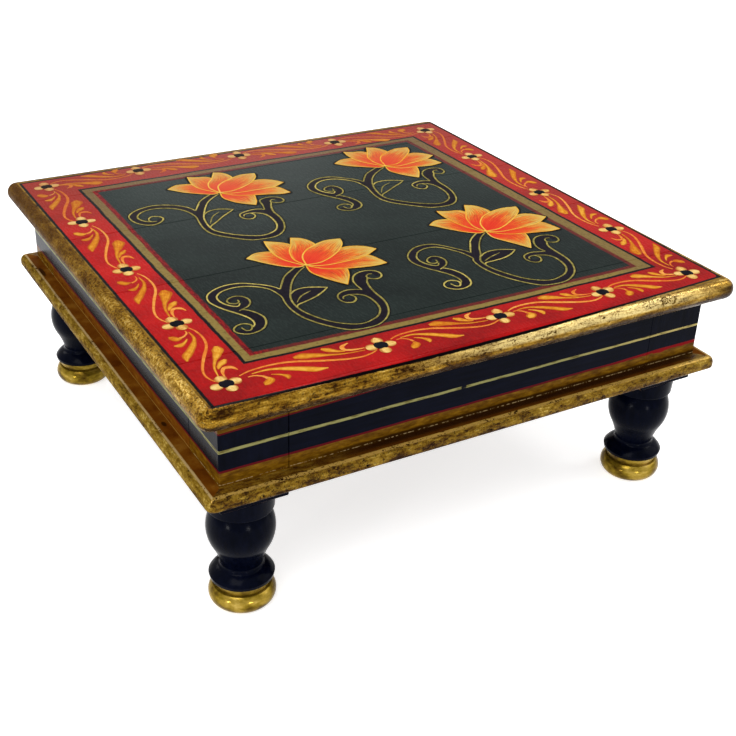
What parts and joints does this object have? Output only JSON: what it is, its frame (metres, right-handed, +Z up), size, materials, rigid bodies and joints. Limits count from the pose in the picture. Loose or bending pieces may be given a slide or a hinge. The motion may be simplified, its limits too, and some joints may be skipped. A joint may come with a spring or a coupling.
{
  "type": "bajot low table",
  "caption": "Square low table with a boarded, painted top, gilt edge beads, a tenoned frame of aprons and short turned legs.",
  "frame": {"origin": "on the floor, below the middle of the square top", "axes": "+Z up, +X to the right along the top's boards, -Y towards the front"},
  "size_m": [0.38, 0.38, 0.158],
  "materials": {
    "painted_top": "satin",
    "gilt_trim": "satin",
    "black_lacquer": "gloss",
    "bare_wood": "matt",
    "steel": "brushed"
  },
  "bodies": {
    "root": {"top_board_front": "painted_top", "top_board_inner_front": "painted_top", "top_board_middle": "painted_top", "top_board_inner_back": "painted_top", "top_board_back": "painted_top", "edge_bead_front": "gilt_trim", "edge_bead_right": "gilt_trim", "edge_bead_back": "gilt_trim", "edge_bead_left": "gilt_trim", "apron_front": "black_lacquer", "apron_right": "black_lacquer", "apron_back": "black_lacquer", "apron_left": "black_lacquer", "leg_front_left": "black_lacquer", "leg_front_right": "black_lacquer", "leg_back_right": "black_lacquer", "leg_back_left": "black_lacquer", "base_moulding_front": "gilt_trim", "base_moulding_right": "gilt_trim", "base_moulding_back": "gilt_trim", "base_moulding_left": "gilt_trim", "batten_left": "bare_wood", "batten_right": "bare_wood", "tenon_pegs": "bare_wood", "batten_screws": "steel", "bead_pins": "steel", "moulding_pins": "steel"}
  },
  "joints": []
}
